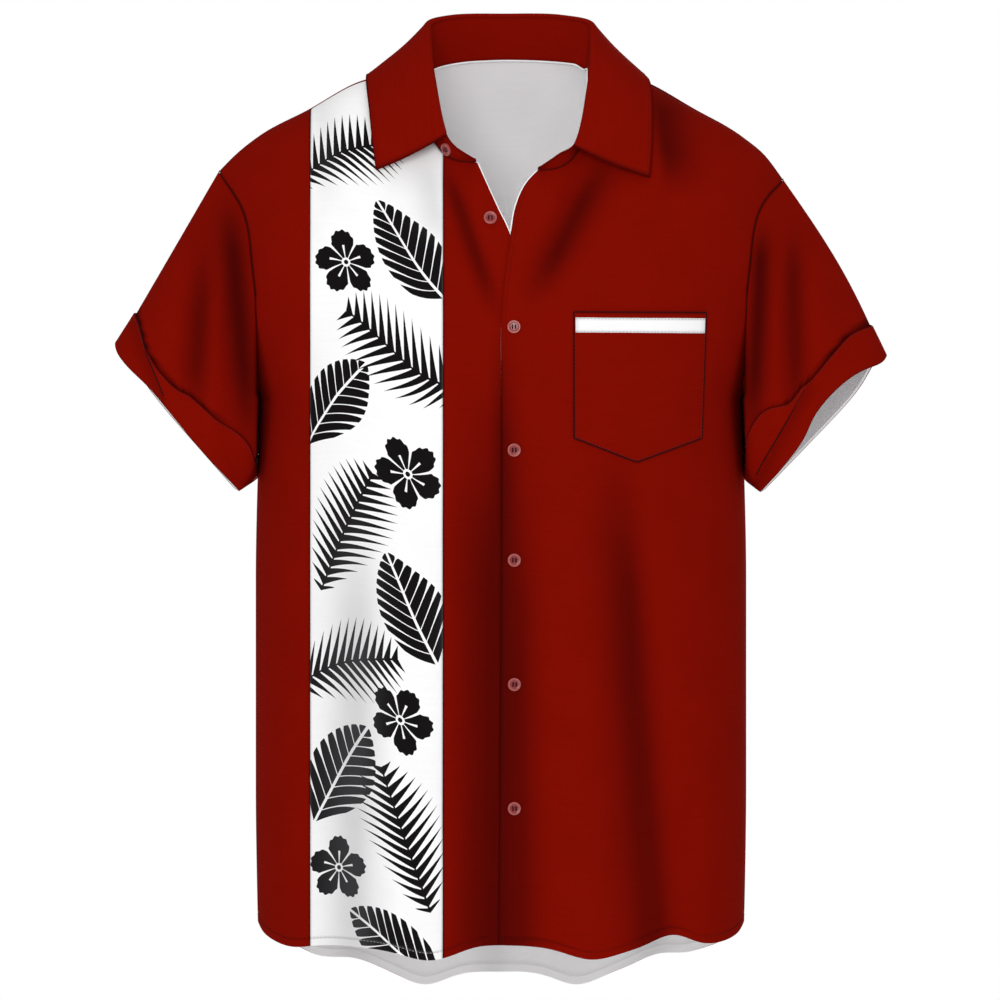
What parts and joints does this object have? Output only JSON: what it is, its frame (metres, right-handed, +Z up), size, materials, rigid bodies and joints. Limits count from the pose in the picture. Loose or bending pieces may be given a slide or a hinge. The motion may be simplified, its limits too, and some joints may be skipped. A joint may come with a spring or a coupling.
{
  "type": "hawaiian shirt",
  "caption": "Short-sleeved hawaiian shirt in its worn, hollow shape, with a folded collar, turned-up cuffs, a buttoned front, a chest pocket and a white panel let into one front.",
  "frame": {"origin": "between the two points where the shoulder seams meet the collar, where the wearer's neck and shoulders carry the shirt", "axes": "+X towards the wearer's left, +Y towards the wearer's back, +Z up"},
  "size_m": [0.6539, 0.2476, 0.8291],
  "materials": {
    "red_cloth": "matte woven cloth",
    "white_cloth": "matte woven cloth",
    "button": "satin resin"
  },
  "bodies": {
    "root": {"back": "red_cloth", "front_left": "red_cloth", "front_right_side": "red_cloth", "front_right_insert": "white_cloth", "front_right_centre": "red_cloth", "sleeve_left": "red_cloth", "sleeve_right": "red_cloth", "cuff_left": "red_cloth", "cuff_right": "red_cloth", "collar_stand": "red_cloth", "collar_leaf": "red_cloth", "pocket": "red_cloth", "pocket_trim": "white_cloth", "button_collar": "button", "button_1": "button", "button_2": "button", "button_3": "button", "button_4": "button", "button_5": "button", "button_6": "button"}
  },
  "joints": []
}
